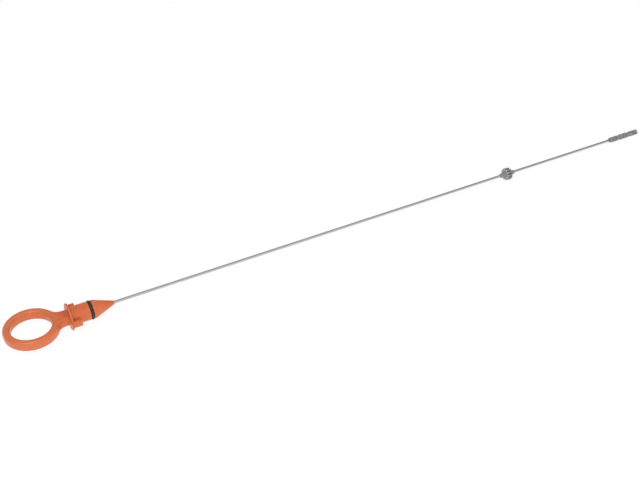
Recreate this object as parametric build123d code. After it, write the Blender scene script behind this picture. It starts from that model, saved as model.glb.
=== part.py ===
"""Engine oil dipstick: a moulded finger ring and plug on a long steel wire with a measuring blade.

The pieces are drawn about the wire's own axis, which is X, with the centre of the finger ring
at zero and the ring lying in the XY plane. At the end they are laid down as the dipstick rests
on a table, on the rim of its flange and on two crests of its guide bushing.
"""
from build123d import *
import math
import os

# Finger ring, with one rounding along every edge of the ring and its neck
ring_outer_r = 17.15
ring_width = 4.8
ring_height = 7.2
grip_edge_r = 2.3

# Neck from the ring to the flange
neck_length = 5.8
neck_width = 10.1
neck_side_r = 6.3
neck_foot_r = 0.8

# Flange that stops on the mouth of the tube
flange_r = 8.85
flange_thickness = 1.2
flange_edge = 0.3

# Two guard tabs that reach forward from the flange, one each side of the plug
tab_width = 4.3
tab_inner = 7.6
tab_thickness = 2.15
tab_length = 5.2
tab_edge_r = 0.4

# Plug that fills the mouth of the tube
plug_r = 6.0
plug_length = 12.0
collar_length = 1.5
cone_length = 12.9
cone_end_wall = 0.2
plug_edge = 0.2

# Sealing ring and its groove
seal_section = 1.8
seal_proud = 0.35
seal_side_gap = 0.12
seal_seat_gap = 0.02

# Wire, with its inner end flattened to anchor it in the plug
wire_r = 1.0
wire_free_length = 425.8
anchor_depth = 25.0
anchor_width = 3.2
anchor_length = 5.0
anchor_ramp = 2.0

# Measuring blade, pressed flat from the end of the wire
blade_width = 4.3
blade_roll = 45.0
blade_length = 33.9
shoulder_length = 3.3
shoulder_r = 2.0
ramp_inset = 0.1
blade_end_r = 1.9
notch_r = 0.9
notch_depth = 0.6
full_mark = 11.8
mark_spacing = 11.5

# Guide bushing that keeps the wire off the wall of the tube
bushing_flutes = 12
bushing_r = 4.7
flute_depth = 0.8
flute_r = 0.75
crest_edge_r = 0.3
bushing_body = 4.4
bushing_edge = 0.4
bushing_nose = 4.7
bushing_nose_r = 2.4
bushing_nose_wall = 0.35
bushing_setback = 106.4

# Places along the axis, each from the one before
flange_x = ring_outer_r + neck_length
plug_x = flange_x + flange_thickness
groove_x = plug_x + plug_length
collar_x = groove_x + seal_section + 2 * seal_side_gap
cone_x = collar_x + collar_length
wire_x = cone_x + cone_length
blade_x = wire_x + wire_free_length
bushing_x = blade_x - bushing_setback

# The seal stands proud of the plug, and the groove's floor lies just under it
seal_r = plug_r + seal_proud - seal_section / 2
groove_r = seal_r - seal_section / 2 - seal_seat_gap

# Pressing keeps the area of the wire's section, so a wider flat is a thinner one
blade_thickness = math.pi * wire_r**2 / blade_width
anchor_half_thickness = wire_r**2 / (anchor_width / 2)

# Both feet stand on the table: the flange on its rim, the bushing on the crests beside a flute.
# A triangle of the axis, a flute's centre and the centre of a crest's edge gives the crest's foot
flute_centre_r = bushing_r - flute_depth + flute_r
crest_centre_r = bushing_r - crest_edge_r
crest_to_flute = crest_edge_r + flute_r
crest_cos = (crest_centre_r**2 + flute_centre_r**2 - crest_to_flute**2) / (2 * crest_centre_r * flute_centre_r)
bushing_foot = crest_centre_r * crest_cos + crest_edge_r
flange_foot_x = plug_x - flange_edge
bushing_foot_x = bushing_x + bushing_body / 2 - bushing_edge
rest_pitch = math.degrees(math.atan2(flange_r - bushing_foot, bushing_foot_x - flange_foot_x))


def across(x: float) -> Plane:
    """Plane square to the axis at x, drawn with the row's Y to the right and Z up."""
    return Plane(origin=(x, 0, 0), x_dir=(0, 1, 0), z_dir=(1, 0, 0))


def turned(corners: list, bevelled: list = (), bevel: float = 0.0) -> Part:
    """Solid of revolution about the axis, from (x, r) corners, some of them bevelled."""
    face = make_face(Polyline(*corners, close=True))
    if bevelled:
        chosen = [v for v in face.vertices() for p in bevelled if math.dist((v.X, v.Y), p) < 1e-6]
        face = chamfer(chosen, bevel)
    return revolve(face, axis=Axis.X)


def grip() -> Part:
    """Ring and neck from one outline, rounded along every edge but the one inside the flange."""
    end = flange_x + flange_thickness / 2
    plan = Circle(ring_outer_r) + Rectangle(end, neck_width, align=(Align.MIN, Align.CENTER))
    plan = fillet(plan.vertices().group_by(Axis.X)[0], neck_side_r)
    plan -= Circle(ring_outer_r - ring_width)
    plate = Pos(0, 0, -ring_height / 2) * extrude(plan, ring_height)
    sides = plate.faces().sort_by(Axis.Z)
    rims = [sides[0].edges().sort_by(Axis.X)[:-1], sides[-1].edges().sort_by(Axis.X)[:-1]]
    return fillet([edge for rim in rims for edge in rim], grip_edge_r)


def flanged_grip() -> Part:
    """Grip on its flange, with rounded rims and a small rounding at the foot of the neck."""
    disc = turned([(flange_x, 0), (flange_x, flange_r), (plug_x, flange_r), (plug_x, 0)])
    body = grip() + fillet(disc.edges().filter_by(GeomType.CIRCLE), flange_edge)
    back = [edge for edge in body.edges() if abs(edge.bounding_box().min.X - flange_x) < 1e-4]
    foot = [edge for edge in back if abs(edge.bounding_box().max.X - flange_x) < 1e-4]
    return fillet([edge for edge in foot if edge.bounding_box().max.Y < flange_r - flange_edge - 1e-4], neck_foot_r)


def guard_tab() -> Part:
    """Block that reaches forward from the middle of the flange, with soft edges."""
    root = flange_thickness / 2
    block = Box(root + tab_length, tab_thickness, tab_width, align=(Align.MIN, Align.MIN, Align.CENTER))
    return Pos(plug_x - root, tab_inner, 0) * fillet(block.edges(), tab_edge_r)


def plug() -> Part:
    """Plug with its seal groove, collar and cone."""
    corners = [
        (plug_x, 0),
        (plug_x, plug_r),
        (groove_x, plug_r),
        (groove_x, groove_r),
        (collar_x, groove_r),
        (collar_x, plug_r),
        (cone_x, plug_r),
        (wire_x, wire_r + cone_end_wall),
        (wire_x, 0),
    ]
    return turned(corners, [(groove_x, plug_r), (collar_x, plug_r)], plug_edge)


def handle(wire: Part) -> Part:
    """Whole moulding, with the wire's own form left out of it."""
    tabs = guard_tab() + mirror(guard_tab(), about=Plane.XZ)
    return flanged_grip() + tabs + plug() - wire


def seal_ring() -> Part:
    """Round rubber ring, centred in its groove."""
    return Pos((groove_x + collar_x) / 2, 0, 0) * Rot(0, 90, 0) * Torus(seal_r, seal_section / 2)


def anchor() -> Part:
    """Flattened inner end of the wire, held fast by the moulding around it."""
    start = wire_x - anchor_depth
    flat = Ellipse(anchor_width / 2, anchor_half_thickness)
    end = extrude(across(start) * flat, anchor_length)
    ramp = loft([across(start + anchor_length) * flat, across(start + anchor_length + anchor_ramp) * Circle(wire_r)])
    return end + ramp


def blade() -> Part:
    """Flat with sloping shoulders, a round end and two pairs of notches, before it is rolled."""
    half = blade_width / 2
    start = blade_x + shoulder_length / 4
    tip = blade_x + blade_length
    shoulder = blade_x + shoulder_length
    upper = [(start, wire_r), (shoulder, half), (tip, half)]
    outline = make_face(Polyline(*upper, *[(x, -y) for x, y in reversed(upper)], close=True))
    corners = outline.vertices().group_by(Axis.X)
    outline = fillet(corners[1], shoulder_r)
    outline = fillet(outline.vertices().group_by(Axis.X)[-1], blade_end_r)
    for mark in (full_mark, full_mark + mark_spacing):
        for side in (1, -1):
            outline -= Pos(blade_x + mark, side * (half + notch_r - notch_depth)) * Circle(notch_r)
    return Pos(0, 0, -blade_thickness / 2) * extrude(outline, blade_thickness)


def pressed_shoulder() -> Part:
    """Ramp from the round wire that ends just inside the blade, so that their faces cross."""
    flat = Ellipse(blade_width / 2 - ramp_inset, blade_thickness / 2 - ramp_inset)
    return loft([across(blade_x) * Circle(wire_r), across(blade_x + shoulder_length) * flat])


def dipstick_wire() -> Part:
    """One wire from the anchor in the plug to the blade."""
    start = wire_x - anchor_depth + anchor_length + anchor_ramp
    rod = extrude(across(start) * Circle(wire_r), blade_x - start)
    return anchor() + rod + Rot(blade_roll, 0, 0) * (pressed_shoulder() + blade())


def guide_bushing(wire: Part) -> Part:
    """Fluted disc with a nose at each end, gripped on the wire."""
    half = bushing_body / 2
    end = half + bushing_nose
    star = Circle(bushing_r) - PolarLocations(flute_centre_r, bushing_flutes, start_angle=-90) * Circle(flute_r)
    star = fillet(star.vertices(), crest_edge_r)
    prism = extrude(across(0) * star, half, both=True)
    shoulder = bushing_r - bushing_edge
    rise = bushing_r + bushing_edge
    barrel = turned(
        [
            (-half, 0),
            (-half, shoulder),
            (2 * bushing_edge - half, rise),
            (half - 2 * bushing_edge, rise),
            (half, shoulder),
            (half, 0),
        ]
    )
    nose_end_r = wire_r + bushing_nose_wall
    noses = turned(
        [
            (-end, 0),
            (-end, nose_end_r),
            (-half, bushing_nose_r),
            (half, bushing_nose_r),
            (end, nose_end_r),
            (end, 0),
        ]
    )
    return Pos(bushing_x, 0, 0) * ((prism & barrel) + noses) - wire


def main() -> None:
    """Build the pieces, lay the dipstick down and write one STEP file for each."""
    wire = dipstick_wire()
    pieces = {
        "handle": handle(wire),
        "seal_ring": seal_ring(),
        "dipstick_wire": wire,
        "guide_bushing": guide_bushing(wire),
    }
    laid = {name: Rot(0, rest_pitch, 0) * piece for name, piece in pieces.items()}
    boxes = [piece.bounding_box() for piece in laid.values()]
    middle = (min(box.min.X for box in boxes) + max(box.max.X for box in boxes)) / 2
    table = min(box.min.Z for box in boxes)
    os.makedirs("parts", exist_ok=True)
    for name, piece in laid.items():
        export_step(Pos(-middle, 0, -table) * piece, f"parts/{name}.step")
        print(name, "volume", round(piece.volume, 2), "solids", len(piece.solids()))
    print("rest pitch", round(rest_pitch, 4), "middle", round(middle, 4), "table", round(table, 4))


main()
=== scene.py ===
"""Engine oil dipstick in its finish: moulded grip, rubber seal, drawn wire with a pressed blade, bushing.

Shapes are worked out in millimetres about the wire's own axis, which is X, with the finger ring's centre
at zero and Z square to the ring. They are then laid down on the table as the CAD pieces lie, in metres.
"""

from __future__ import annotations

import logging
import math
from dataclasses import dataclass, field
from enum import Enum
from itertools import accumulate
from typing import Any, Mapping, Sequence, Union

import bmesh
import bpy
import numpy as np
from mathutils import Matrix

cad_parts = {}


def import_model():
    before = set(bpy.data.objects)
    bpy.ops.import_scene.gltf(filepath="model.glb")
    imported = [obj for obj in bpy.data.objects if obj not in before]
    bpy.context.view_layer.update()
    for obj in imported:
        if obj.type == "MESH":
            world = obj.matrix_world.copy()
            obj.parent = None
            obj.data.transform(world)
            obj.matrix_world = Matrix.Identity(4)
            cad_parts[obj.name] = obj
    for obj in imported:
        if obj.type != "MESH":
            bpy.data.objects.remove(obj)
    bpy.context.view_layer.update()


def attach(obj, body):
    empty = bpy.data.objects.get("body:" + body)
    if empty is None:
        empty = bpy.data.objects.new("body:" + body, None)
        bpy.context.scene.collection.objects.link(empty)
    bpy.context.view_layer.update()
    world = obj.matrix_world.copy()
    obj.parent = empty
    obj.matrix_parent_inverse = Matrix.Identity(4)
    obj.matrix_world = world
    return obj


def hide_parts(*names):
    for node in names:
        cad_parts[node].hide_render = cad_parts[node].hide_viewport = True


log = logging.getLogger("dipstick")

Colour = tuple[float, float, float]
Place = tuple[float, float, float]
Span = tuple[float, float]
Stretch = tuple[np.ndarray, np.ndarray]
Value = Union["Channel", float]

MM = 0.001
SHARP_DEG = 32.0

# Gaps in metres within which two points are one, and below which an edge is none
SAME_POINT = 2e-7
NO_EDGE = 1e-7

# Lengths along the axis in millimetres from the ring's centre, where each ends, and the bushing's middle
LENGTHS = {"ring": 17.15, "neck": 5.8, "flange": 1.2, "plug": 12.0, "groove": 2.04, "collar": 1.5}
LENGTHS |= {"cone": 12.9, "rod": 425.8, "blade": 33.9}
AFTER = dict(zip(LENGTHS, accumulate(LENGTHS.values())))
BUSHING_SETBACK = 106.4
BUSHING_X = AFTER["rod"] - BUSHING_SETBACK

# Signs of the two directions in each quarter of a turn, and the points round the plug and its seal
QUARTERS = np.array([[1.0, 1.0], [-1.0, 1.0], [-1.0, -1.0], [1.0, -1.0]])
AROUND = 224


@dataclass(frozen=True)
class Lie:
    """How the dipstick lies: its axis tips down towards the blade, on the flange's rim and the bushing.

    Attributes:
        pitch_deg: turn about the row's Y that brings both feet to the table.
        middle: where the middle of the length falls along the turned axis, in millimetres.
        table: height of the table, with the turned axis through zero, in millimetres.
    """

    pitch_deg: float = 0.6978
    middle: float = 247.5463
    table: float = -9.1399

    def turn(self, vectors: np.ndarray) -> np.ndarray:
        """Turns vectors about Y: x' = x cos a + z sin a, and z' = z cos a - x sin a.

        Args:
            vectors: array of shape (..., 3) in the axis frame.

        Returns:
            The same vectors in the row frame.
        """
        a = math.radians(self.pitch_deg)
        x, y, z = np.moveaxis(np.asarray(vectors, float), -1, 0)
        return np.stack([x * math.cos(a) + z * math.sin(a), y, z * math.cos(a) - x * math.sin(a)], axis=-1)

    def lay(self, points: np.ndarray) -> np.ndarray:
        """Points of the axis frame, in millimetres, on the table of the row frame, in metres."""
        return (self.turn(points) - np.array([self.middle, 0.0, self.table])) * MM


class Ends(Enum):
    """What closes a grid along its length."""

    CAPPED = "capped"
    JOINED = "joined"


def placed(name: str, data: bpy.types.ID) -> bpy.types.Object:
    """Makes an object and links it to the scene.

    Args:
        name: its name.
        data: its mesh, lamp or camera.

    Returns:
        The object, at the origin.
    """
    thing = bpy.data.objects.new(name, data)
    bpy.context.scene.collection.objects.link(thing)
    return thing


@dataclass
class Skin:
    """Closed grids of points gathered into the one mesh of a piece."""

    lie: Lie
    points: list[np.ndarray] = field(default_factory=list)
    faces: list[np.ndarray] = field(default_factory=list)
    count: int = 0

    def wrap(self, grid: np.ndarray, ends: Ends) -> Skin:
        """Adds a surface from a grid whose columns close round it.

        Point (i, j) is joined to (i + 1, j), (i + 1, j + 1) and (i, j + 1), the columns counted round. A
        capped grid gets a fan about the middle of its first and last row, and a joined one closes on its
        first row. The six-fold volume, the sum of a . (b x c) over all triangles, tells whether the faces
        point outwards.

        Args:
            grid: points of shape (rows, columns, 3) in the axis frame, in millimetres.
            ends: how the first and last row are closed.

        Returns:
            The skin itself.
        """
        rows, around = grid.shape[:2]
        points = grid.reshape(-1, 3)
        index = np.arange(rows * around).reshape(rows, around)
        if ends is Ends.JOINED:
            index = np.vstack([index, index[:1]])
        low, high = index[:-1], index[1:]
        quads = np.stack([low, np.roll(low, -1, 1), np.roll(high, -1, 1), high], axis=-1).reshape(-1, 4)
        triangles = np.vstack([quads[:, [0, 1, 2]], quads[:, [0, 2, 3]]])
        caps = np.empty((0, 3), int)
        if ends is Ends.CAPPED:
            points = np.vstack([points, grid[[0, -1]].mean(axis=1)])
            first, last = np.full(around, rows * around), np.full(around, rows * around + 1)
            start = np.stack([np.roll(index[0], -1), index[0], first], axis=-1)
            end = np.stack([index[-1], np.roll(index[-1], -1), last], axis=-1)
            caps = np.vstack([start, end])
            triangles = np.vstack([triangles, caps])
        a, b, c = (points[triangles[:, k]] for k in range(3))
        if np.einsum("ij,ij->i", a, np.cross(b, c)).sum() < 0:
            quads, caps = quads[:, ::-1], caps[:, ::-1]
        self.points.append(points)
        self.faces += [quads + self.count, caps + self.count]
        self.count += len(points)
        return self

    def make(self, name: str, material: bpy.types.Material) -> bpy.types.Object:
        """Makes the Blender object, with doubles merged and edges sharper than SHARP_DEG kept crisp.

        Args:
            name: name of the piece.
            material: its finish.

        Returns:
            The object, at the origin, with its place in its mesh.
        """
        mesh = bpy.data.meshes.new(name)
        faces = [face for block in self.faces for face in block.tolist()]
        mesh.from_pydata(self.lie.lay(np.vstack(self.points)).tolist(), [], faces)
        work = bmesh.new()
        work.from_mesh(mesh)
        bmesh.ops.remove_doubles(work, verts=work.verts, dist=SAME_POINT)
        bmesh.ops.dissolve_degenerate(work, dist=NO_EDGE, edges=work.edges)
        work.to_mesh(mesh)
        work.free()
        mesh.shade_smooth()
        mesh.set_sharp_from_angle(angle=math.radians(SHARP_DEG))
        mesh.materials.append(material)
        return placed(name, mesh)


def unit(vector: Sequence[float]) -> np.ndarray:
    """Vector brought to a length of one."""
    return np.asarray(vector, float) / np.linalg.norm(vector)


def rays(angles: np.ndarray) -> np.ndarray:
    """Directions (cos a, sin a), along a new last axis."""
    return np.stack([np.cos(angles), np.sin(angles)], axis=-1)


def quarter_turns(count: int) -> np.ndarray:
    """Angles of four quarter turns, each of count points with both its ends, of shape (4, count)."""
    return np.linspace(0, math.pi / 2, count) + np.arange(4)[:, None] * math.pi / 2


def arc(centre: Sequence[float], radius: float, span: Span, count: int, sense: float) -> Stretch:
    """Outline on an arc, centre + radius (cos t, sin t), that is hollow where its sense is -1."""
    ray = rays(np.linspace(*span, count, endpoint=False))
    return np.asarray(centre) + radius * ray, sense * ray


def straight(start: Span, end: Span, count: int, out: Span) -> Stretch:
    """Outline on a straight run, (1 - t) start + t end, whose outward direction is out."""
    t = np.linspace(0, 1, count, endpoint=False)[:, None]
    return np.asarray(start) * (1 - t) + np.asarray(end) * t, np.tile(np.asarray(out, float), (count, 1))


def eased(corners: Sequence[Place], steps: int = 6, reach: float = 1.5) -> np.ndarray:
    """Profile through corners, each rounded by its own radius.

    An arc of radius r at a corner where the line turns by t starts and ends r tan(t / 2) from it, and its
    centre is square to the first run. Runs longer than reach are divided evenly.

    Args:
        corners: (x, distance from the axis, radius) of each corner.
        steps: facets of each arc.
        reach: longest run between two points, in millimetres.

    Returns:
        Points of shape (n, 2).
    """
    at = np.array([corner[:2] for corner in corners], float)
    radii = [corner[2] for corner in corners[1:-1]]
    rough = [at[:1]]
    for before, here, after, radius in zip(at[:-2], at[1:-1], at[2:], radii):
        come, go = unit(here - before), unit(after - here)
        side = math.copysign(1.0, come[0] * go[1] - come[1] * go[0])
        turn = math.acos(float(np.clip(come @ go, -1, 1)))
        square = side * np.array([-come[1], come[0]])
        start = here - come * radius * math.tan(turn / 2)
        t = np.linspace(0, turn, steps + 1)[:, None]
        rough.append(start + radius * (np.sin(t) * come + (1 - np.cos(t)) * square))
    line = np.vstack([*rough, at[-1:]])
    gaps = np.linalg.norm(np.diff(line, axis=0), axis=1)
    runs = [
        a + (b - a) * np.linspace(0, 1, max(1, math.ceil(gap / reach)), endpoint=False)[:, None]
        for a, b, gap in zip(line[:-1], line[1:], gaps)
    ]
    return np.vstack([*runs, line[-1:]])


def turned(profile: np.ndarray, around: int) -> np.ndarray:
    """Grid of a profile turned about the axis: y = r sin a, and z = r cos a.

    Args:
        profile: (x, r) points of shape (n, 2).
        around: points round the axis.

    Returns:
        Grid of shape (n, around, 3).
    """
    a = np.linspace(0, 2 * math.pi, around, endpoint=False)
    x, r = profile[:, :1], profile[:, 1:]
    return np.stack([x + 0 * a, r * np.sin(a), r * np.cos(a)], axis=-1)


def eased_step(x: np.ndarray) -> np.ndarray:
    """Smooth step from 0 to 1: 3 t squared less 2 t cubed, with t held between 0 and 1."""
    t = np.clip(x, 0, 1)
    return t * t * (3 - 2 * t)


@dataclass(frozen=True)
class Channel:
    """A number that varies over a surface: one socket, on which Python's own signs add Math nodes."""

    bench: Bench
    socket: bpy.types.NodeSocket

    def __add__(self, other: Value) -> Channel:
        """Sum."""
        return self.bench.maths("ADD", self, other)

    def __sub__(self, other: Value) -> Channel:
        """Difference."""
        return self.bench.maths("SUBTRACT", self, other)

    def __rsub__(self, other: Value) -> Channel:
        """Difference, the other way round."""
        return self.bench.maths("SUBTRACT", other, self)

    def __mul__(self, other: Value) -> Channel:
        """Product."""
        return self.bench.maths("MULTIPLY", self, other)

    __radd__ = __add__
    __rmul__ = __mul__

    def rise(self, low: float, high: float) -> Channel:
        """Smooth rise from 0 at low to 1 at high, or a fall where high is the lower one.

        Args:
            low: value at which the result is 0.
            high: value at which the result is 1.

        Returns:
            The rise as a new channel.
        """
        ends = (low, high, 0.0, 1.0) if low < high else (high, low, 1.0, 0.0)
        inputs = {"Value": self, **dict(zip(("From Min", "From Max", "To Min", "To Max"), ends))}
        node = self.bench.node("ShaderNodeMapRange", {"interpolation_type": "SMOOTHSTEP"}, inputs)
        return Channel(self.bench, node.outputs["Result"])


class Bench:
    """Node tree of one material or world, and the one place where its nodes are added."""

    def __init__(self, owner: Union[bpy.types.Material, bpy.types.World]) -> None:
        """Starts on an emptied node tree.

        Args:
            owner: the new material or world.
        """
        self.owner = owner
        owner.use_nodes = True
        self.tree = owner.node_tree
        self.tree.nodes.clear()
        self.coordinates = self.node("ShaderNodeTexCoord").outputs

    def node(
        self, kind: str, settings: Mapping[str, Any] | None = None, inputs: Mapping[Any, Any] | None = None
    ) -> bpy.types.Node:
        """Adds one node.

        Args:
            kind: the node's type.
            settings: its own settings, set first.
            inputs: value, socket or channel for each input, by name or number.

        Returns:
            The node.
        """
        node = self.tree.nodes.new(kind)
        for key, value in (settings or {}).items():
            setattr(node, key, value)
        for key, value in (inputs or {}).items():
            if isinstance(value, Channel):
                value = value.socket
            if isinstance(value, bpy.types.NodeSocket):
                self.tree.links.new(value, node.inputs[key])
            else:
                node.inputs[key].default_value = value
        return node

    def maths(self, operation: str, *terms: Value) -> Channel:
        """Adds a Math node of that operation over one to three channels or numbers."""
        node = self.node("ShaderNodeMath", {"operation": operation}, dict(enumerate(terms)))
        return Channel(self, node.outputs[0])

    def light_path(self, *names: str) -> list[Channel]:
        """One channel for each kind of ray that is named, 1 where light arrives by it."""
        outputs = self.node("ShaderNodeLightPath").outputs
        return [Channel(self, outputs[f"Is {name} Ray"]) for name in names]

    def noise(
        self, size: float, detail: float = 3.0, stretch: Place = (1.0, 1.0, 1.0), turn_deg: float = 0.0
    ) -> Channel:
        """Noise about zero, from about -1 to 1.

        Args:
            size: breadth of one spot, in millimetres.
            detail: octaves.
            stretch: how many times longer a spot is along each axis.
            turn_deg: turn of the pattern about Y, which lines it up with the wire.

        Returns:
            The noise as a channel.
        """
        turn = {"Vector": self.coordinates["Object"], "Rotation": (0.0, math.radians(turn_deg), 0.0)}
        lined = self.node("ShaderNodeMapping", {"vector_type": "POINT"}, turn).outputs["Vector"]
        scale = tuple(1 / (size * MM * s) for s in stretch)
        scaled = self.node("ShaderNodeVectorMath", {"operation": "MULTIPLY"}, {0: lined, 1: scale})
        spots = {"Vector": scaled.outputs[0], "Scale": 1.0, "Detail": detail}
        node = self.node("ShaderNodeTexNoise", {"normalize": True}, spots)
        return (Channel(self, node.outputs["Fac"]) - 0.5) * 3.0

    def axes(self, lie: Lie) -> tuple[Channel, Channel, Channel]:
        """Place along, across and above the wire's axis, in millimetres.

        The row's x and z are turned back by the pitch: along = x cos a - z sin a, and above = x sin a +
        z cos a, after the middle and the table are added again.

        Args:
            lie: how the dipstick lies.

        Returns:
            Channels for x, y and z in the axis frame.
        """
        split = self.node("ShaderNodeSeparateXYZ", None, {0: self.coordinates["Object"]})
        x, y, z = (Channel(self, out) * (1 / MM) for out in split.outputs)
        x, z = x + lie.middle, z + lie.table
        a = math.radians(lie.pitch_deg)
        return x * math.cos(a) - z * math.sin(a), y, x * math.sin(a) + z * math.cos(a)

    def blend(self, mask: Value, first: Any, second: Any) -> bpy.types.NodeSocket:
        """Colour between two colours or colour sockets, with the mask as the second one's share."""
        ends = {key: (*c, 1.0) if isinstance(c, tuple) else c for key, c in ((6, first), (7, second))}
        return self.node("ShaderNodeMix", {"data_type": "RGBA"}, {0: mask, **ends}).outputs[2]

    def bump(self, height: Channel, depth: float) -> bpy.types.NodeSocket:
        """Normal of a fine relief, where a height of 1 stands for depth in millimetres."""
        inputs = {"Height": height, "Distance": depth * MM, "Strength": 1.0}
        return self.node("ShaderNodeBump", None, inputs).outputs["Normal"]

    def finish(self, colour: Any, rough: Channel, normal: Any, others: dict[str, Any]) -> bpy.types.Material:
        """Adds the surface shader.

        Args:
            colour: socket of its colour.
            rough: its roughness.
            normal: socket of its relief.
            others: fixed values of its other sockets, and a channel where its metal varies.

        Returns:
            The finished material.
        """
        inputs = {**others, "Base Color": colour, "Roughness": rough, "Normal": normal}
        shader = self.node("ShaderNodeBsdfPrincipled", None, inputs)
        self.node("ShaderNodeOutputMaterial", None, {"Surface": shader.outputs["BSDF"]})
        return self.owner


# Finishes: a noise starts with the breadth of its spots in millimetres, and a mask's factor is its share


@dataclass(frozen=True)
class MouldedOrange:
    """Satin orange plastic, as it comes from the mould and from many hands."""

    body: Colour = (0.575, 0.118, 0.028)
    pale: Colour = (0.675, 0.215, 0.105)
    deep: Colour = (0.44, 0.075, 0.015)
    roughness: float = 0.32
    relief: float = 0.006
    hair_turn_deg: float = 24.0
    # Where the ring's wear and its painted pale sheen fade out, and where they are full, along the axis in
    # millimetres
    wear_and_sheen_gone_x: float = 22.0
    wear_and_sheen_full_x: float = 8.0

    def make(self, lie: Lie) -> bpy.types.Material:
        """Flow marks, bands round the plug, mottle, a satin grain, and hairline scratches and a painted pale
        sheen on the ring.

        Args:
            lie: how the dipstick lies.

        Returns:
            The material.
        """
        bench = Bench(bpy.data.materials.new("gloss_plastic_orange"))
        along, _, _ = bench.axes(lie)
        flow = bench.noise(9.0, 2.0, (2.2, 1.0, 1.0), lie.pitch_deg)
        bands = bench.noise(1.3, 3.0, (1.0, 8.0, 8.0), lie.pitch_deg)
        mottle = bench.noise(0.9, 4.0)
        grain = bench.noise(0.16, 3.0)
        hairs = bench.noise(0.12, 2.0, (40.0, 3.0, 1.0), lie.pitch_deg + self.hair_turn_deg)
        cross = bench.noise(0.12, 2.0, (3.0, 30.0, 1.0), lie.pitch_deg)
        # Rises towards the ring: the hairline scratches and smoother polish there are wear, and the paler
        # colour it brings is a painted pale sheen
        wear_and_sheen = along.rise(self.wear_and_sheen_gone_x, self.wear_and_sheen_full_x)
        scratches = (hairs.rise(0.42, 0.75) + cross.rise(0.5, 0.8)) * wear_and_sheen
        colour = bench.blend(flow.rise(-0.6, 1.0) * 0.35, self.body, self.pale)
        shade = mottle.rise(-0.2, 1.2) * 0.30 + bands.rise(0.0, 1.0) * 0.30
        colour = bench.blend(shade, colour, self.deep)
        # Paler along the scratches, and a painted pale sheen over the ring end
        colour = bench.blend(scratches * 0.2 + wear_and_sheen * 0.3, colour, self.pale)
        rough = self.roughness + flow * 0.03 + mottle * 0.035 + scratches * 0.10 - wear_and_sheen * 0.03
        relief = bench.bump(grain * 0.6 + mottle * 0.5 - scratches * 0.9, self.relief)
        fixed = {"Metallic": 0.0, "IOR": 1.49, "Specular IOR Level": 0.45}
        return bench.finish(colour, rough, relief, fixed)


@dataclass(frozen=True)
class SealRubber:
    """Black rubber with a dull bloom."""

    body: Colour = (0.012, 0.014, 0.015)
    bloom: Colour = (0.045, 0.050, 0.052)
    roughness: float = 0.50
    relief: float = 0.006

    def make(self, lie: Lie) -> bpy.types.Material:
        """Dusty bloom in patches over a fine skin.

        Args:
            lie: how the dipstick lies, which a pattern with no direction doesn't need.

        Returns:
            The material.
        """
        bench = Bench(bpy.data.materials.new("rubber_black"))
        patches = bench.noise(1.4, 3.0)
        grain = bench.noise(0.10, 3.0)
        dust = patches.rise(-0.2, 1.2) * 0.45 + grain.rise(0.3, 1.0) * 0.2
        colour = bench.blend(dust, self.body, self.bloom)
        rough = self.roughness + patches * 0.06
        relief = bench.bump(grain + patches * 0.6, self.relief)
        return bench.finish(colour, rough, relief, {"Metallic": 0.0, "IOR": 1.52})


@dataclass(frozen=True)
class DrawnSteel:
    """Bright drawn wire that turns to a dark, oil-stained blade at its pressed end."""

    bright: Colour = (0.59, 0.59, 0.582)
    streak: Colour = (0.42, 0.42, 0.414)
    stain: Colour = (0.40, 0.397, 0.414)
    dark: Colour = (0.105, 0.102, 0.112)
    roughness: float = 0.24
    blade_roughness: float = 0.52
    relief: float = 0.004
    blade_from: float = AFTER["rod"] - 0.79
    blade_full: float = AFTER["rod"] + 1.61

    def make(self, lie: Lie) -> bpy.types.Material:
        """Drawing lines along the wire, and mottled stain on the blade.

        Args:
            lie: how the dipstick lies.

        Returns:
            The material.
        """
        bench = Bench(bpy.data.materials.new("brushed_steel_wire"))
        along, _, _ = bench.axes(lie)
        lines = bench.noise(0.10, 3.0, (160.0, 1.0, 1.0), lie.pitch_deg)
        patches = bench.noise(2.6, 3.0, (4.0, 1.0, 1.0), lie.pitch_deg)
        mottle = bench.noise(1.5, 4.0)
        grain = bench.noise(0.12, 3.0)
        blade = (along + mottle * 0.25).rise(self.blade_from, self.blade_full)
        drawn = lines.rise(-0.2, 1.3) * 0.25 + patches.rise(0.2, 1.4) * 0.15
        wire = bench.blend(drawn, self.bright, self.streak)
        plate = bench.blend(mottle.rise(-0.9, 1.1), self.stain, self.dark)
        colour = bench.blend(blade, wire, plate)
        rougher = self.blade_roughness - self.roughness + mottle * 0.08
        rough = self.roughness + lines * 0.04 + patches * 0.03 + blade * rougher
        metal = 1.0 - blade * 0.45
        relief = bench.bump(lines * (1.0 - blade) * 0.12 + (grain + mottle) * blade * 2.0, self.relief)
        return bench.finish(colour, rough, relief, {"Metallic": metal, "IOR": 1.5})


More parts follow.
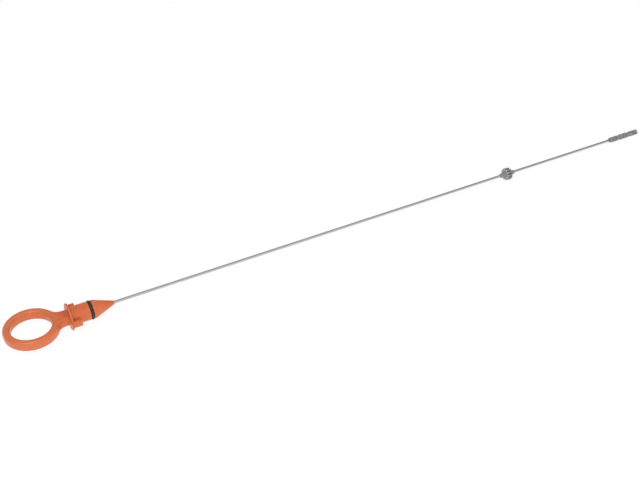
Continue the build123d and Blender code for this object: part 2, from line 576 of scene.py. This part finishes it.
@dataclass(frozen=True)
class GreyNylon:
    """Matte grey plastic of the guide bushing, a little polished on its crests."""

    body: Colour = (0.235, 0.235, 0.240)
    pale: Colour = (0.430, 0.430, 0.435)
    deep: Colour = (0.085, 0.085, 0.090)
    roughness: float = 0.50
    relief: float = 0.008
    middle_x: float = BUSHING_X
    half_body: float = 2.2
    hub_r: float = 2.6
    floor_r: float = 3.95
    crest_r: float = 4.35
    face_fade: Span = (0.35, 0.05)
    rim_fade: Span = (0.6, 0.2)
    hub_fade: float = 0.2
    crest_fade: float = 0.3

    def make(self, lie: Lie) -> bpy.types.Material:
        """Cloudy grey with painted shade on the nose, the fluted rim and the flute hollows, and painted
        highlights on the end faces and crests.

        Args:
            lie: how the dipstick lies.

        Returns:
            The material.
        """
        bench = Bench(bpy.data.materials.new("matte_plastic_grey"))
        along, across, above = bench.axes(lie)
        radius = bench.maths("SQRT", across * across + above * above)
        clouds = bench.noise(1.8, 3.0)
        grain = bench.noise(0.14, 3.0)
        away = bench.maths("ABSOLUTE", along - self.middle_x)
        # Painted highlight on the end faces' annulus, which catches the light from the ring's side
        end = away.rise(*(self.half_body - fade for fade in self.face_fade))
        face = end * radius.rise(self.hub_r, self.crest_r)
        # Painted shade: the nose inside hub_r, the fluted rim and the flute hollows
        hub = radius.rise(self.hub_r + self.hub_fade, self.hub_r - self.hub_fade)
        # Painted highlight on the crests, whose polish also lowers the roughness below
        crest = radius.rise(self.crest_r, self.crest_r + self.crest_fade)
        rim = radius.rise(*(self.floor_r - fade for fade in self.rim_fade)) * (1.0 - end)
        flute = rim * radius.rise(self.crest_r, self.floor_r)
        colour = bench.blend(clouds.rise(-0.8, 1.2) * 0.35, self.body, self.pale)
        # Painted shade on nose, rim and flutes, and darker grain specks
        painted_shade_and_grain = hub * 0.3 + rim * 0.45 + flute * 0.40 + grain.rise(0.3, 1.2) * 0.15
        colour = bench.blend(painted_shade_and_grain, colour, self.deep)
        # Painted highlights on the end faces and crests
        colour = bench.blend(face * 0.9 + crest * 0.15, colour, self.pale)
        rough = self.roughness + clouds * 0.05 - crest * 0.08 + grain * 0.02
        relief = bench.bump(grain + clouds * 0.5, self.relief)
        return bench.finish(colour, rough, relief, {"Metallic": 0.0, "IOR": 1.53})


@dataclass
class Handle:
    """Orange moulding: finger ring, neck, flange, two guard tabs, plug, seal groove, collar and cone."""

    lie: Lie
    finish: MouldedOrange = MouldedOrange()
    ring_r: float = LENGTHS["ring"]
    hole_r: float = 12.35
    half_height: float = 3.6
    edge_r: float = 2.3
    neck_half: float = 5.05
    side_r: float = 6.3
    foot_r: float = 0.8
    sink: float = 0.3
    heel: float = 0.2
    buried_end: float = 28.0
    buried_r: float = 3.5
    wall_rows: tuple[float, ...] = (0.0, 0.05, 0.10, 0.16, 0.5, 0.9)
    parting_rise: float = 0.03
    parting_half: float = 0.07
    flange_x: float = AFTER["neck"]
    flange_r: float = 8.85
    plug_x: float = AFTER["flange"]
    plug_r: float = 6.0
    groove_x: float = AFTER["plug"]
    groove_r: float = 4.53
    collar_x: float = AFTER["groove"]
    cone_x: float = AFTER["collar"]
    cone_end: float = AFTER["cone"]
    cone_end_r: float = 1.2
    rim_round: float = 0.3
    edge_round: float = 0.25
    groove_round: float = 0.15
    cone_round: float = 0.7
    cone_end_round: float = 0.12
    tab_reach: float = 5.2
    tab_root: float = 0.6
    tab_inner: float = 7.6
    tab_thickness: float = 2.15
    tab_width: float = 4.3
    tab_edge: float = 0.4
    tab_steps: int = 6

    def outline(self) -> Stretch:
        """Outer edge of ring and neck in plan, once round from the middle of the neck's buried end.

        The side arc of the neck touches the ring's circle and the neck's straight side: its centre is
        side_r + neck_half up and ring_r + side_r from the ring's, so Pythagoras gives how far along.

        Returns:
            Points and outward directions, each of shape (n, 2).
        """
        rise = self.neck_half + self.side_r
        run = math.sqrt((self.ring_r + self.side_r) ** 2 - rise**2)
        meet = math.atan2(rise, run)
        corner = np.array([self.buried_end - self.buried_r, self.neck_half - self.buried_r])
        upper = [
            straight((self.buried_end, 0.0), (self.buried_end, corner[1]), 3, (1, 0)),
            arc(corner, self.buried_r, (0, math.pi / 2), 10, 1.0),
            straight((corner[0], self.neck_half), (run, self.neck_half), 12, (0, 1)),
            arc((run, rise), self.side_r, (-math.pi / 2, -math.pi + meet), 28, -1.0),
        ]
        points, out = (np.vstack(parts) for parts in zip(*upper))
        ring = arc((0.0, 0.0), self.ring_r, (meet, 2 * math.pi - meet), 280, 1.0)
        last = rays(np.array([-meet]))
        flip = np.array([1.0, -1.0])
        points = np.vstack([points, ring[0], last * self.ring_r, (points[1:] * flip)[::-1]])
        return points, np.vstack([out, ring[1], last, (out[1:] * flip)[::-1]])

    def grip(self) -> np.ndarray:
        """Ring and neck as one grid: round the outline, and round the section from outer wall to hole.

        A point is (1 - s) (outline - inset * outward) + s (hole_r + inset) (cos p, sin p), where p is the
        angle of the outline there. On a rounding the inset is edge_r (1 - cos a), with edge_r sin a above
        the straight wall, and over the flat top s runs from 0 to 1. The parting line is a ridge at
        mid-height, parting_rise high, that falls off as exp(-(height / parting_half)^2).

        Returns:
            Grid of shape (section, outline, 3).
        """
        edge, out = self.outline()
        a = np.linspace(0, math.pi / 2, 11)
        wall_z = np.array(self.wall_rows)
        wall_in = self.parting_rise * (1 - np.exp(-((wall_z / self.parting_half) ** 2)))
        round_z = self.half_height - self.edge_r + self.edge_r * np.sin(a)
        round_in = self.edge_r * (1 - np.cos(a)) + self.parting_rise * np.cos(a)
        side_z, side_in = np.r_[wall_z, round_z], np.r_[wall_in, round_in]
        flat = np.linspace(0, 1, 7)[1:-1]
        rows = len(side_z)
        share = np.r_[np.zeros(rows), flat, np.ones(rows)]
        inset = np.r_[side_in, np.full(len(flat), self.edge_r), side_in[::-1]]
        height = np.r_[side_z, np.full(len(flat), self.half_height), side_z[::-1]]
        share, inset, height = (
            np.r_[top, sign * top[-2:0:-1]][:, None, None]
            for top, sign in ((share, 1), (inset, 1), (height, -1))
        )
        towards = edge - out * self.edge_r
        hole = rays(np.arctan2(towards[:, 1], towards[:, 0]))
        plan = (1 - share) * (edge - out * inset) + share * (self.hole_r + inset) * hole
        return np.concatenate([plan, np.broadcast_to(height, plan.shape[:2] + (1,))], axis=-1)

    def neck_foot(self) -> np.ndarray:
        """Hollow rounding at the foot of the neck, a profile carried round the neck's section.

        The section is a rectangle with rounded corners, and the profile a quarter circle that leaves the
        neck and meets the flange square, closed inside both.

        Returns:
            Grid of shape (section, profile, 3).
        """
        out = rays(quarter_turns(10))
        corners = QUARTERS * np.array([self.neck_half - self.edge_r, self.half_height - self.edge_r])
        path = corners[:, None] + self.edge_r * out
        path, out = path.reshape(-1, 1, 2), out.reshape(-1, 1, 2)
        t = np.linspace(0, math.pi / 2, 9)
        neck_x, sunk_x = self.flange_x - self.foot_r, self.flange_x + self.sink
        x = np.r_[neck_x + self.foot_r * np.sin(t), sunk_x, sunk_x, neck_x - self.heel]
        lift = np.r_[self.foot_r * (1 - np.cos(t)), self.foot_r, -self.sink, -self.sink]
        yz = path + out * lift[:, None]
        return np.concatenate([np.broadcast_to(x[:, None], yz.shape[:2] + (1,)), yz], axis=-1)

    def body(self) -> np.ndarray:
        """Flange, plug, groove, collar and cone, turned from one profile.

        Returns:
            Grid of shape (profile, AROUND, 3).
        """
        corners = [
            (self.flange_x, 0.0, 0.0),
            (self.flange_x, self.flange_r, self.rim_round),
            (self.plug_x, self.flange_r, self.edge_round),
            (self.plug_x, self.plug_r, self.rim_round),
            (self.groove_x, self.plug_r, self.edge_round),
            (self.groove_x, self.groove_r, self.groove_round),
            (self.collar_x, self.groove_r, self.groove_round),
            (self.collar_x, self.plug_r, self.edge_round),
            (self.cone_x, self.plug_r, self.cone_round),
            (self.cone_end, self.cone_end_r, self.cone_end_round),
            (self.cone_end, 0.0, 0.0),
        ]
        return turned(eased(corners)[1:-1], AROUND)

    def guard_tab(self, side: float) -> np.ndarray:
        """One guard tab as a box with rounded edges.

        A point is the corner of a smaller box plus edge times a unit direction, and the corner changes
        with the octant of the direction, so that flats open between the roundings.

        Args:
            side: 1 for the tab on the +Y side, or -1.

        Returns:
            Grid of shape (latitude, longitude, 3).
        """
        size = np.array([self.tab_root + self.tab_reach, self.tab_thickness, self.tab_width])
        inner = size / 2 - self.tab_edge
        middle_y = side * (self.tab_inner + self.tab_thickness / 2)
        middle = np.array([self.plug_x - self.tab_root + size[0] / 2, middle_y, 0.0])
        turns = quarter_turns(self.tab_steps)
        octant = np.repeat(QUARTERS, self.tab_steps, axis=0)
        lat = np.r_[turns[0] - math.pi / 2, turns[0]][:, None]
        plan = octant * inner[:2] + self.tab_edge * np.cos(lat)[..., None] * rays(turns.ravel())
        z = np.repeat([-inner[2], inner[2]], self.tab_steps)[:, None] + self.tab_edge * np.sin(lat)
        z = np.broadcast_to(z[..., None], plan.shape[:2] + (1,))
        return np.concatenate([plan, z], axis=-1) + middle

    def build(self) -> bpy.types.Object:
        """Makes the moulding in place of its CAD solid.

        Returns:
            The piece.
        """
        skin = Skin(self.lie).wrap(self.grip(), Ends.JOINED).wrap(self.neck_foot(), Ends.JOINED)
        skin.wrap(self.body(), Ends.CAPPED)
        skin.wrap(self.guard_tab(1.0), Ends.CAPPED).wrap(self.guard_tab(-1.0), Ends.CAPPED)
        piece = skin.make("grip_moulding", self.finish.make(self.lie))
        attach(piece, "root")
        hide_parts("handle")
        return piece


@dataclass
class Seal:
    """Rubber ring in the groove of the plug."""

    lie: Lie
    finish: SealRubber = SealRubber()
    middle_x: float = (AFTER["plug"] + AFTER["groove"]) / 2
    centre_r: float = 5.45
    section_r: float = 0.9

    def ring(self) -> np.ndarray:
        """Torus as a grid: a circle of section_r carried round a circle of centre_r."""
        t = np.linspace(0, 2 * math.pi, 40, endpoint=False)
        return turned(np.array([self.middle_x, self.centre_r]) + self.section_r * rays(t), AROUND)

    def build(self) -> bpy.types.Object:
        """Makes the ring in place of its CAD solid.

        Returns:
            The piece.
        """
        skin = Skin(self.lie).wrap(self.ring(), Ends.JOINED)
        piece = skin.make("seal_rubber_ring", self.finish.make(self.lie))
        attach(piece, "root")
        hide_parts("seal_ring")
        return piece


@dataclass
class Wire:
    """One steel wire: flattened anchor in the plug, round rod, and pressed, notched blade."""

    lie: Lie
    finish: DrawnSteel = DrawnSteel()
    radius: float = 1.0
    anchor_x: float = AFTER["cone"] - 25.0
    anchor_length: float = 5.0
    anchor_ramp: float = 2.0
    anchor_half: float = 1.6
    anchor_thick: float = 0.625
    blade_x: float = AFTER["rod"]
    tip_x: float = AFTER["blade"]
    shoulder: float = 3.3
    blade_half: float = 2.15
    blade_thick: float = 0.3653
    roll_deg: float = 45.0
    roll_from: float = 40.0
    roll_over: float = 40.0
    end_r: float = 1.9
    edge_round: float = 0.30
    edge_share: float = 0.8
    tip_share: float = 0.97
    full_mark: float = 11.8
    mark_spacing: float = 11.5
    notch_r: float = 0.9
    notch_depth: float = 0.6
    hatch_pitch: float = 1.45
    hatch_lean_deg: float = 38.0
    hatch_depth: float = 0.10
    hatch_width: float = 0.20
    hatch_start: float = 1.98
    hatch_in: float = 2.0
    hatch_clear: float = 0.5
    hatch_out: float = 1.0
    rod_step: float = 4.0
    plate_step: float = 0.1
    notch_reach: float = 0.95
    end_reach: float = 0.6
    edge_points: int = 10
    face_points: int = 46

    def rod_x(self) -> float:
        """Where the anchor's ramp ends and the round rod starts."""
        return self.anchor_x + self.anchor_length + self.anchor_ramp

    def notch_xs(self) -> Span:
        """Places of the two pairs of notches."""
        full = self.blade_x + self.full_mark
        return full, full + self.mark_spacing

    def stations(self) -> np.ndarray:
        """Places along the axis: far apart on the rod, close on the blade, closest at notches and end.

        Returns:
            Places of shape (n,), rising.
        """
        plate_x = self.blade_x + self.shoulder
        quarter = np.linspace(0, math.pi / 2, 16)
        places = [
            np.linspace(self.anchor_x, self.rod_x(), 16),
            np.arange(self.rod_x(), self.blade_x, self.rod_step),
            np.linspace(self.blade_x, plate_x, 34),
            np.arange(plate_x + self.plate_step, self.tip_x - self.end_reach, self.plate_step),
            *(np.linspace(x - self.notch_reach, x + self.notch_reach, 61) for x in self.notch_xs()),
            self.tip_x - self.end_reach * (1 - np.sin(quarter)),
        ]
        return np.unique(np.round(np.concatenate(places), 4))

    def half_width(self, x: np.ndarray) -> np.ndarray:
        """Half the blade's width at x, with its notches and round end.

        A notch is a circle of notch_r that bites notch_depth into the edge. The end's corners are end_r.

        Args:
            x: places along the axis.

        Returns:
            Half-widths in millimetres.
        """
        half = np.full_like(x, self.blade_half)
        for at in self.notch_xs():
            bite = np.sqrt(np.clip(self.notch_r**2 - (x - at) ** 2, 0, None))
            half = np.minimum(half, self.blade_half + self.notch_r - self.notch_depth - bite)
        past = np.clip(x - (self.tip_x - self.end_r), 0, self.end_r)
        return np.minimum(half, self.blade_half - self.end_r + np.sqrt(self.end_r**2 - past**2))

    def hatch(self, x: np.ndarray, y: np.ndarray) -> np.ndarray:
        """Crosshatch of the blade, 0 between its grooves and 1 at their floor.

        Two sets of lines lean both ways from the axis. The distance to the nearest line d gives a groove
        exp(-(d / width)^2), and the deeper of the two sets counts.

        Args:
            x: places along the axis, in a column.
            y: places across the blade, in a row for each x.

        Returns:
            Groove depth from 0 to 1 on the grid.
        """
        lean = math.radians(self.hatch_lean_deg)
        deep = np.zeros(np.broadcast(x, y).shape)
        for side in (1.0, -1.0):
            turns = (x * math.cos(lean) + side * y * math.sin(lean)) / self.hatch_pitch
            gap = np.abs(turns - np.round(turns)) * self.hatch_pitch
            deep = np.maximum(deep, np.exp(-((gap / self.hatch_width) ** 2)))
        return deep

    def surface(self) -> np.ndarray:
        """Wire as one grid: a section carried along the axis, blended from a circle to a flat.

        The flat section has straight faces between elliptic edges. With b the share of the flat, a point
        is (1 - b) times the circle plus b times the flat, turned by the roll. b rises over each ramp. The
        crosshatch dies out as 1 - s^6 towards the sides of a face, where s is 1.

        Returns:
            Grid of shape (stations, section, 3).
        """
        x = self.stations()[:, None]
        e, f = self.edge_points, self.face_points
        t = np.linspace(-math.pi / 2, math.pi / 2, e + 2)[1:-1]
        s = np.linspace(1, -1, f)
        core = np.r_[np.ones(e), s, -np.ones(e), -s]
        cap = np.r_[np.cos(t), np.zeros(f), -np.cos(t), np.zeros(f)]
        level = np.r_[np.sin(t), np.ones(f), -np.sin(t), -np.ones(f)]
        face = np.r_[np.zeros(e), 1 - s**6, np.zeros(e), 1 - s**6]
        turn = (np.arange(2 * (e + f)) - (e - 1) / 2) * math.pi / (e + f)
        anchored = x < self.rod_x()
        step = np.clip((x - self.blade_x) / self.shoulder, 0, 1)
        flattened = np.clip((self.rod_x() - x) / self.anchor_ramp, 0, 1)
        b = np.where(anchored, flattened, (step + eased_step(step)) / 2)
        half = np.where(anchored, self.anchor_half, self.half_width(x))
        thick = np.where(anchored, self.anchor_thick, self.blade_thick)
        last = np.clip((x - self.tip_x) / self.edge_round + 1, 0, self.tip_share)
        thick = thick * np.sqrt(1 - last**2)
        edge = np.minimum(self.edge_round, self.edge_share * half)
        wide = (half - edge) * core + edge * cap
        ready = eased_step((x - self.blade_x - self.hatch_start) / self.hatch_in)
        ready = ready * eased_step((self.tip_x - self.hatch_clear - x) / self.hatch_out)
        cut = self.hatch_depth * self.hatch(x, wide) * face * ready
        tall = thick * level - np.sign(level) * cut
        y = (1 - b) * self.radius * np.cos(turn) + b * wide
        z = (1 - b) * self.radius * np.sin(turn) + b * tall
        roll = math.radians(self.roll_deg) * np.clip((x - self.roll_from) / self.roll_over, 0, 1)
        across = y * np.cos(roll) - z * np.sin(roll)
        above = y * np.sin(roll) + z * np.cos(roll)
        return np.stack([np.broadcast_to(x, y.shape), across, above], axis=-1)

    def build(self) -> bpy.types.Object:
        """Makes the wire in place of its CAD solid.

        Returns:
            The piece.
        """
        skin = Skin(self.lie).wrap(self.surface(), Ends.CAPPED)
        piece = skin.make("steel_wire_and_blade", self.finish.make(self.lie))
        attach(piece, "root")
        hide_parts("dipstick_wire")
        return piece


@dataclass
class Bushing:
    """Fluted disc with a nose at each end, gripped on the wire. Its body_rows count from an end face."""

    lie: Lie
    finish: GreyNylon = GreyNylon()
    middle_x: float = BUSHING_X
    flutes: int = 12
    crest_r: float = 4.7
    flute_r: float = 0.75
    flute_centre: float = 4.65
    crest_round: float = 0.3
    half_body: float = 2.2
    body_rows: tuple[float, ...] = (0.0, 0.03, 0.08, 0.14, 0.2, 0.26, 0.4, 0.8, 1.4, 2.2)
    bevel: float = 0.2
    face_drop: float = 0.04
    nose_length: float = 4.7
    nose_r: float = 2.4
    nose_end_r: float = 1.35
    nose_round: float = 0.18
    foot_round: float = 0.12
    foot_gap: float = 0.02
    collar_rise: float = 0.3
    bore_r: float = 0.98

    def star(self) -> tuple[np.ndarray, np.ndarray]:
        """Fluted outline in polar form.

        Over half a flute it is a hollow arc about the flute's centre, an arc that rounds the crest's edge,
        and the crest's own arc. The centre of the rounding lies crest_round + flute_r from the flute's and
        crest_r - crest_round from the axis, which the cosine rule turns into its angle.

        Returns:
            Angle from straight down and distance from the axis, each of shape (n,).
        """
        inner = self.crest_r - self.crest_round
        apart = self.crest_round + self.flute_r
        lean = math.acos((inner**2 + self.flute_centre**2 - apart**2) / (2 * inner * self.flute_centre))
        centre = inner * rays(lean)
        hub = np.array([self.flute_centre, 0.0])
        away = centre - hub
        first = math.atan2(away[1], away[0])
        hollow = np.linspace(math.pi, first, 9)
        bend = np.linspace(first - math.pi, lean, 7)[1:]
        crest = np.linspace(lean, math.pi / self.flutes, 3)[1:]
        rounding = centre + self.crest_round * rays(bend)
        half = np.vstack([hub + self.flute_r * rays(hollow), rounding, self.crest_r * rays(crest)])
        one = np.vstack([(half * np.array([1.0, -1.0]))[::-1][:-1], half[:-1]])
        angle, radius = np.arctan2(one[:, 1], one[:, 0]), np.hypot(one[:, 0], one[:, 1])
        turns = np.arange(self.flutes) * 2 * math.pi / self.flutes
        return (turns[:, None] + angle).ravel(), np.tile(radius, self.flutes)

    def surface(self) -> np.ndarray:
        """Bushing as one grid: a profile of circles that opens into the fluted outline on the body.

        With w the share of the outline, the distance from the axis is (1 - w) r + w min(outline, limit).
        The limit is the bevel's: it falls by one for each millimetre towards either end of the body.

        Returns:
            Grid of shape (profile, round, 3).
        """
        angle, outline = self.star()
        end, foot_r = self.half_body + self.nose_length, self.nose_r + self.collar_rise
        corners = [
            (-end, self.bore_r, 0.0),
            (-end, self.nose_end_r, self.nose_round),
            (-self.half_body - self.foot_gap, self.nose_r, self.foot_round),
            (-self.half_body, foot_r, 0.0),
        ]
        nose = eased(corners, 5, 0.8)
        opening = np.linspace(0, 1, 5)[1:-1]
        rows = np.array(self.body_rows) - self.half_body
        faces = np.full(len(opening), -self.half_body)
        x = np.r_[nose[:, 0], faces, rows]
        r = np.r_[nose[:, 1], np.full(len(faces) + len(rows), foot_r)]
        w = np.r_[np.zeros(len(nose)), opening, np.ones(len(rows))]
        x, r, w = (np.r_[half, sign * half[-2::-1]][:, None] for half, sign in ((x, -1), (r, 1), (w, 1)))
        inside = np.maximum(self.half_body - np.abs(x), 0)
        limit = self.crest_r - self.bevel + inside - self.face_drop * (inside < self.body_rows[1] / 2)
        radius = (1 - w) * r + w * np.minimum(outline, limit)
        place = np.broadcast_to(self.middle_x + x, radius.shape)
        return np.stack([place, radius * np.sin(angle), -radius * np.cos(angle)], axis=-1)

    def build(self) -> bpy.types.Object:
        """Makes the bushing in place of its CAD solid.

        Returns:
            The piece.
        """
        skin = Skin(self.lie).wrap(self.surface(), Ends.JOINED)
        piece = skin.make("fluted_guide_bushing", self.finish.make(self.lie))
        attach(piece, "root")
        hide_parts("guide_bushing")
        return piece


@dataclass
class Studio:
    """Plain pale floor, soft light and the camera at the photograph's view."""

    lie: Lie
    key_from: Place = (0.15, -0.62, 0.77)
    lamp_distance: float = 1.2
    key_size: float = 1.0
    key_power: float = 4.5
    glint_from: Place = (-0.48, -0.42, 0.77)
    glint_size: float = 0.50
    glint_power: float = 3.6
    sky_light: float = 0.65
    sky_near: float = 0.59
    sky_far: float = 0.38
    sky_turn: Span = (0.38, 0.72)
    sky_back_y: float = 0.3
    sky_front_y: float = -0.7
    back_level: float = 0.80
    front_gain: float = 0.50
    floor_half: float = 4.0
    floor_grey: Colour = (0.86, 0.86, 0.86)
    floor_pale: Colour = (0.88, 0.88, 0.88)
    floor_roughness: float = 0.9
    floor_glow: float = 0.90
    floor_bounce: float = 0.45
    floor_white: float = 1.02
    bounce_light: float = 1.7
    camera_at: Place = (-55.13, -445.84, 370.11)
    camera_right: Place = (0.86764, -0.49712, 0.00906)
    camera_up: Place = (0.28605, 0.51400, 0.80869)
    focal_px: float = 900.0
    width_px: float = 640.0
    sensor: float = 36.0
    shift_px: Span = (-0.5, 0.5)
    clip: Span = (0.01, 50.0)

    def camera(self) -> None:
        """Sets the camera from its place, its right and its up, turned as the dipstick is laid."""
        data = bpy.data.cameras.new("view")
        data.sensor_width = self.sensor
        data.lens = self.focal_px / self.width_px * self.sensor
        data.shift_x, data.shift_y = (shift / self.width_px for shift in self.shift_px)
        data.clip_start, data.clip_end = self.clip
        right = unit(self.lie.turn(np.array(self.camera_right)))
        up = self.lie.turn(np.array(self.camera_up))
        up = unit(up - right * (up @ right))
        place = self.lie.lay(np.array(self.camera_at))
        columns = np.column_stack([right, up, np.cross(right, up), place])
        view = placed("view", data)
        view.matrix_world = Matrix([*columns.tolist(), [0, 0, 0, 1]])
        bpy.context.scene.camera = view

    def floor(self) -> None:
        """Pale floor, white to the camera and in metal, that still takes the object's soft shadow."""
        bench = Bench(bpy.data.materials.new("pale_floor"))
        speck = bench.noise(30.0, 2.0)
        colour = bench.blend(speck.rise(-1.0, 1.0) * 0.5, self.floor_grey, self.floor_pale)
        matt = {"Base Color": colour, "Roughness": self.floor_roughness}
        paint = bench.node("ShaderNodeBsdfPrincipled", None, matt).outputs["BSDF"]
        camera, glossy, through = bench.light_path("Camera", "Glossy", "Transmission")
        seen = bench.maths("MAXIMUM", bench.maths("MAXIMUM", camera, glossy), through)
        strength = seen * (self.floor_white - self.bounce_light) + self.bounce_light
        glow = bench.node("ShaderNodeEmission", None, {"Color": (1, 1, 1, 1), "Strength": strength})
        share = seen * (self.floor_glow - self.floor_bounce) + self.floor_bounce
        both = {0: share, 1: paint, 2: glow.outputs["Emission"]}
        mixed = bench.node("ShaderNodeMixShader", None, both).outputs["Shader"]
        bench.node("ShaderNodeOutputMaterial", None, {"Surface": mixed})
        h = self.floor_half
        mesh = bpy.data.meshes.new("floor")
        mesh.from_pydata([(-h, -h, 0), (h, -h, 0), (h, h, 0), (-h, h, 0)], [], [(0, 1, 2, 3)])
        mesh.materials.append(bench.owner)
        placed("floor", mesh)

    def softbox(self, name: str, source: Place, size: float, power: float) -> bpy.types.Object:
        """One square lamp that faces the middle of the dipstick.

        Args:
            name: its name.
            source: direction that its light comes from.
            size: its side, in metres.
            power: its power, in watts.

        Returns:
            The lamp.
        """
        data = bpy.data.lights.new(name, "AREA")
        data.shape, data.size, data.energy = "SQUARE", size, power
        lamp = placed(name, data)
        way = unit(source)
        side = unit(np.cross([0.0, 1.0, 0.0], way))
        lamp.location = way * self.lamp_distance
        lamp.rotation_mode = "QUATERNION"
        turn = np.column_stack([side, np.cross(way, side), way])
        lamp.rotation_quaternion = Matrix(turn.tolist()).to_quaternion()
        return lamp

    def sky(self) -> None:
        """Even pale sky, white to the camera, that shiny surfaces see otherwise.

        They see sky_near, falling to sky_far over sky_turn towards the blade's end, times back_level behind
        the dipstick and front_gain more in front.
        """
        bench = Bench(bpy.data.worlds.new("sky"))
        way = bench.node("ShaderNodeSeparateXYZ", None, {0: bench.coordinates["Generated"]}).outputs
        along = Channel(bench, way[0]).rise(*self.sky_turn)
        front = Channel(bench, way[1]).rise(self.sky_back_y, self.sky_front_y)
        glossy, camera = bench.light_path("Glossy", "Camera")
        level = along * (self.sky_far - self.sky_near) + self.sky_near
        seen = level * (front * self.front_gain + self.back_level)
        strength = glossy * (seen - self.sky_light) + camera * (1.0 - self.sky_light) + self.sky_light
        back = bench.node("ShaderNodeBackground", None, {"Color": (1, 1, 1, 1), "Strength": strength})
        bench.node("ShaderNodeOutputWorld", None, {"Surface": back.outputs["Background"]})
        bpy.context.scene.world = bench.owner

    def build(self) -> None:
        """Makes floor, a large lamp that leaves no glint on the wire, a small one, sky and camera."""
        self.floor()
        key = self.softbox("softbox", self.key_from, self.key_size, self.key_power)
        key.visible_glossy = False
        self.softbox("glint", self.glint_from, self.glint_size, self.glint_power)
        self.sky()
        self.camera()
        bpy.context.scene.view_settings.view_transform = "Standard"


def main() -> None:
    """Loads the frame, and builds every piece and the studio."""
    logging.basicConfig(level=logging.INFO, format="%(name)s: %(message)s")
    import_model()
    lie = Lie()
    for part in (Handle(lie), Seal(lie), Wire(lie), Bushing(lie)):
        piece = part.build()
        log.info("%s: %d faces", piece.name, len(piece.data.polygons))
    Studio(lie).build()


if __name__ == "__main__":
    main()
